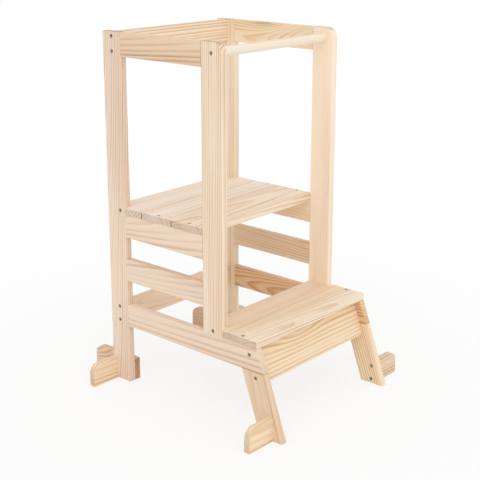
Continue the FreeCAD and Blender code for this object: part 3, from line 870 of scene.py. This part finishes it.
def pin_set():
    """Fluted dowel pins with chamfered ends."""
    tree, given, made = new_group(
        "pin set",
        "GeometryNodeTree",
        {
            "Places": "shape",
            "Diameter": "number",
            "Length": "number",
            "Chamfer": "number",
            "Flutes": "number",
            "Flute depth": "number",
            "Seed": "count",
            "Material": "material",
        },
        {"Pins": "shape"},
    )
    radius = tree.maths("MULTIPLY", given["Diameter"], 0.5)
    sheet, angle, row = turned_sheet(tree, PIN_ROWS)
    wave = tree.maths("COSINE", tree.maths("MULTIPLY", angle, given["Flutes"]))
    wave = tree.maths("MULTIPLY_ADD", wave, 0.5, 0.5)
    body = tree.maths("SUBTRACT", radius, tree.maths("MULTIPLY", wave, given["Flute depth"]))
    end = tree.maths("SUBTRACT", radius, given["Chamfer"])
    low = tree.minus(given["Length"])
    upper = tree.minus(given["Chamfer"])
    lower = tree.maths("ADD", low, given["Chamfer"])
    reach = pick(tree, row, (0.0, end, body, body, end), 0.0)
    height = pick(tree, row, (0.0, 0.0, upper, lower, low), low)
    stand_everywhere(tree, given, made, sheet, angle, reach, height)
    return tree.tree


def make_set(node, tree, sizes, material):
    """Stands a tree's shapes at the places of a CAD group, and lets them take its place."""
    found = fasteners(node)
    mesh = bpy.data.meshes.new(f"{node}_places")
    mesh.from_pydata([place for place, _, _ in found], [], [])
    heading = mesh.attributes.new("heading", "FLOAT_VECTOR", "POINT")
    for count, (_, way, _) in enumerate(found):
        heading.data[count].vector = way
    holder = bpy.data.objects.new(f"{node}_places", mesh)
    bpy.context.scene.collection.objects.link(holder)
    nodes = holder.modifiers.new("set", "NODES")
    nodes.node_group = tree
    values = {**sizes, "Length": found[0][2], "Seed": len(node), "Material": material}
    for item in tree.interface.items_tree:
        if item.in_out == "INPUT" and item.name in values:
            nodes[item.identifier] = values[item.name]
    graph = bpy.context.evaluated_depsgraph_get()
    made = bpy.data.meshes.new_from_object(holder.evaluated_get(graph), depsgraph=graph)
    holder.modifiers.clear()
    bpy.data.objects.remove(holder)
    made.materials.pop(index=0)  # The first slot is empty, since the places have no material.
    made.name = f"detailed_{node}"
    piece = bpy.data.objects.new(f"detailed_{node}", made)
    bpy.context.scene.collection.objects.link(piece)
    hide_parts(node)
    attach(piece, "root")
    return piece


SCREW_SIZES = {
    "Head diameter": 9.5 * MM,
    "Head height": 4 * MM,
    "Rim rounding": 0.7 * MM,
    "Socket width": 4 * MM,
    "Socket depth": 2.5 * MM,
    "Socket chamfer": 0.3 * MM,
    "Shank diameter": 6.3 * MM,
    "Thread pitch": 3 * MM,
    "Thread depth": 0.8 * MM,
    "Tip length": 2 * MM,
}
PIN_SIZES = {
    "Diameter": 8 * MM,
    "Chamfer": 1 * MM,
    "Flutes": 18.0,
    "Flute depth": 0.3 * MM,
}


STEEL_DARK, STEEL_LIGHT = tint("7E7B75"), tint("B7B4AB")

# Cells a metre of the plating's clouds and its grit, and the noise where dark turns to light.
STEEL_CLOUDS, STEEL_GRIT = 420, 4200
CLOUD_EDGES = (0.35, 0.7)
STEEL_ROUGHNESS, CLOUD_ROUGHNESS = 0.22, 0.25
STEEL_BUMP, STEEL_BUMP_DEPTH = 0.2, 0.05 * MM


def zinc_steel():
    """Zinc-plated steel, a little cloudy and with a fine grit."""
    material, tree, shader = new_material("plated_steel")
    place = tree.add("ShaderNodeTexCoord").outputs["Object"]
    cloud = tree.noise(tree.vectors("MULTIPLY", place, [STEEL_CLOUDS] * 3), 3.0, 0.6)
    cloud = cloud.outputs["Fac"]
    grit = tree.noise(tree.vectors("MULTIPLY", place, [STEEL_GRIT] * 3), 2.0).outputs["Fac"]
    colour = tree.blend(tree.ease(cloud, *CLOUD_EDGES), STEEL_DARK, STEEL_LIGHT)
    rough = tree.maths("MULTIPLY_ADD", cloud, CLOUD_ROUGHNESS, STEEL_ROUGHNESS)
    tree.join(colour, shader.inputs["Base Color"])
    tree.join(rough, shader.inputs["Roughness"])
    tree.bump(grit, STEEL_BUMP, STEEL_BUMP_DEPTH, shader.inputs["Normal"])
    shader.inputs["Metallic"].default_value = 1.0
    return material


PIN_WOOD = dict(tone="honey", pith=(9, 14), ring=2.5, waver=2)
PIN_SEED = 200.0
PIN_LIES = {"front_post_pins": "upright", "front_leg_pins": "upright"}

SCREWS = screw_set()
PINS = pin_set()
STEEL = zinc_steel()
for node in sorted(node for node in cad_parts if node.endswith("_screws")):
    make_set(node, SCREWS, SCREW_SIZES, STEEL)
for count, node in enumerate(sorted(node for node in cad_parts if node.endswith("_pins"))):
    lies = PIN_LIES.get(node, "back to front")
    wood = pine(node, lies, seed=PIN_SEED + count, **PIN_WOOD)
    make_set(node, PINS, PIN_SIZES, wood)


# The studio.

FLOOR_COLOUR = (0.96, 0.96, 0.96, 1)
FLOOR_REACH = 60.0
FLOOR_GLOW = 0.75
FLOOR_WHITE_FROM, FLOOR_WHITE_AT = 0.5, 1.6
ROOM_LIGHT = 0.76

# Each lamp: the way towards it, its strength, and its spread in degrees.
LAMPS = {
    "key": ((-0.85, -0.65, 0.9), 0.7, 60),
    "fill": ((0.6, -0.8, 0.5), 0.3, 90),
}

CAMERA_PLACE = (-1.8829, -1.6673, 1.1668)
CAMERA_AZIMUTH = -48.715
CAMERA_ELEVATION = 15.422
CAMERA_LENS = 77.91
CAMERA_SHIFT = -0.08


def studio_floor():
    """A wide pale floor, whiter far off, that keeps the stool's soft shadow."""
    material, tree, shader = new_material("studio_floor")
    shader.inputs["Base Color"].default_value = FLOOR_COLOUR
    shader.inputs["Roughness"].default_value = 1.0
    shader.inputs["Specular IOR Level"].default_value = 0.0
    white = tree.add("ShaderNodeEmission")
    place = tree.add("ShaderNodeTexCoord").outputs["Object"]
    far = tree.ease(tree.vectors("LENGTH", place), FLOOR_WHITE_FROM, FLOOR_WHITE_AT)
    share = tree.maths("MULTIPLY_ADD", far, 1 - FLOOR_GLOW, FLOOR_GLOW)
    seen = tree.add("ShaderNodeLightPath").outputs["Is Camera Ray"]
    mix = tree.add("ShaderNodeMixShader")
    tree.join(tree.maths("MULTIPLY", share, seen), mix.inputs[0])
    tree.join(shader.outputs[0], mix.inputs[1])
    tree.join(white.outputs[0], mix.inputs[2])
    tree.join(mix.outputs[0], material.node_tree.nodes["Material Output"].inputs["Surface"])

    mesh = bpy.data.meshes.new("studio_floor")
    ways = ((-1, -1), (1, -1), (1, 1), (-1, 1))
    corners = [(x * FLOOR_REACH, y * FLOOR_REACH, 0) for x, y in ways]
    mesh.from_pydata(corners, [], [(0, 1, 2, 3)])
    mesh.materials.append(material)
    floor = bpy.data.objects.new("studio_floor", mesh)
    bpy.context.scene.collection.objects.link(floor)


def studio_room():
    """Even light from all round, with white behind whatever the camera or a gloss sees."""
    world = bpy.data.worlds.new("studio")
    world.use_nodes = True
    bpy.context.scene.world = world
    tree = Tree(world.node_tree)
    back = world.node_tree.nodes["Background"]
    back.inputs["Color"].default_value = (1, 1, 1, 1)
    path = tree.add("ShaderNodeLightPath").outputs
    seen = tree.maths("MAXIMUM", path["Is Camera Ray"], path["Is Glossy Ray"])
    seen = tree.maths("MAXIMUM", seen, path["Is Transmission Ray"])
    strength = tree.maths("MULTIPLY_ADD", seen, 1 - ROOM_LIGHT, ROOM_LIGHT)
    tree.join(strength, back.inputs["Strength"])


def soft_lamp(name, towards, strength, spread):
    """A wide soft light that comes from one side of the room."""
    light = bpy.data.lights.new(name, "SUN")
    light.energy = strength
    light.angle = math.radians(spread)
    lamp = bpy.data.objects.new(name, light)
    lamp.rotation_euler = Vector(towards).to_track_quat("Z", "Y").to_euler()
    bpy.context.scene.collection.objects.link(lamp)


def camera():
    """The photograph's view, from the front and the left, a little above."""
    lens = bpy.data.cameras.new("camera")
    lens.lens = CAMERA_LENS
    lens.shift_y = CAMERA_SHIFT
    seat = bpy.data.objects.new("camera", lens)
    around, up = math.radians(CAMERA_AZIMUTH), math.radians(CAMERA_ELEVATION)
    level = math.cos(up)
    back = Vector((math.sin(around) * level, -math.cos(around) * level, math.sin(up)))
    seat.location = CAMERA_PLACE
    seat.rotation_euler = back.to_track_quat("Z", "Y").to_euler()
    bpy.context.scene.collection.objects.link(seat)
    bpy.context.scene.camera = seat


studio_floor()
studio_room()
for name, (towards, strength, spread) in LAMPS.items():
    soft_lamp(name, towards, strength, spread)
camera()
bpy.context.scene.view_settings.view_transform = "Standard"
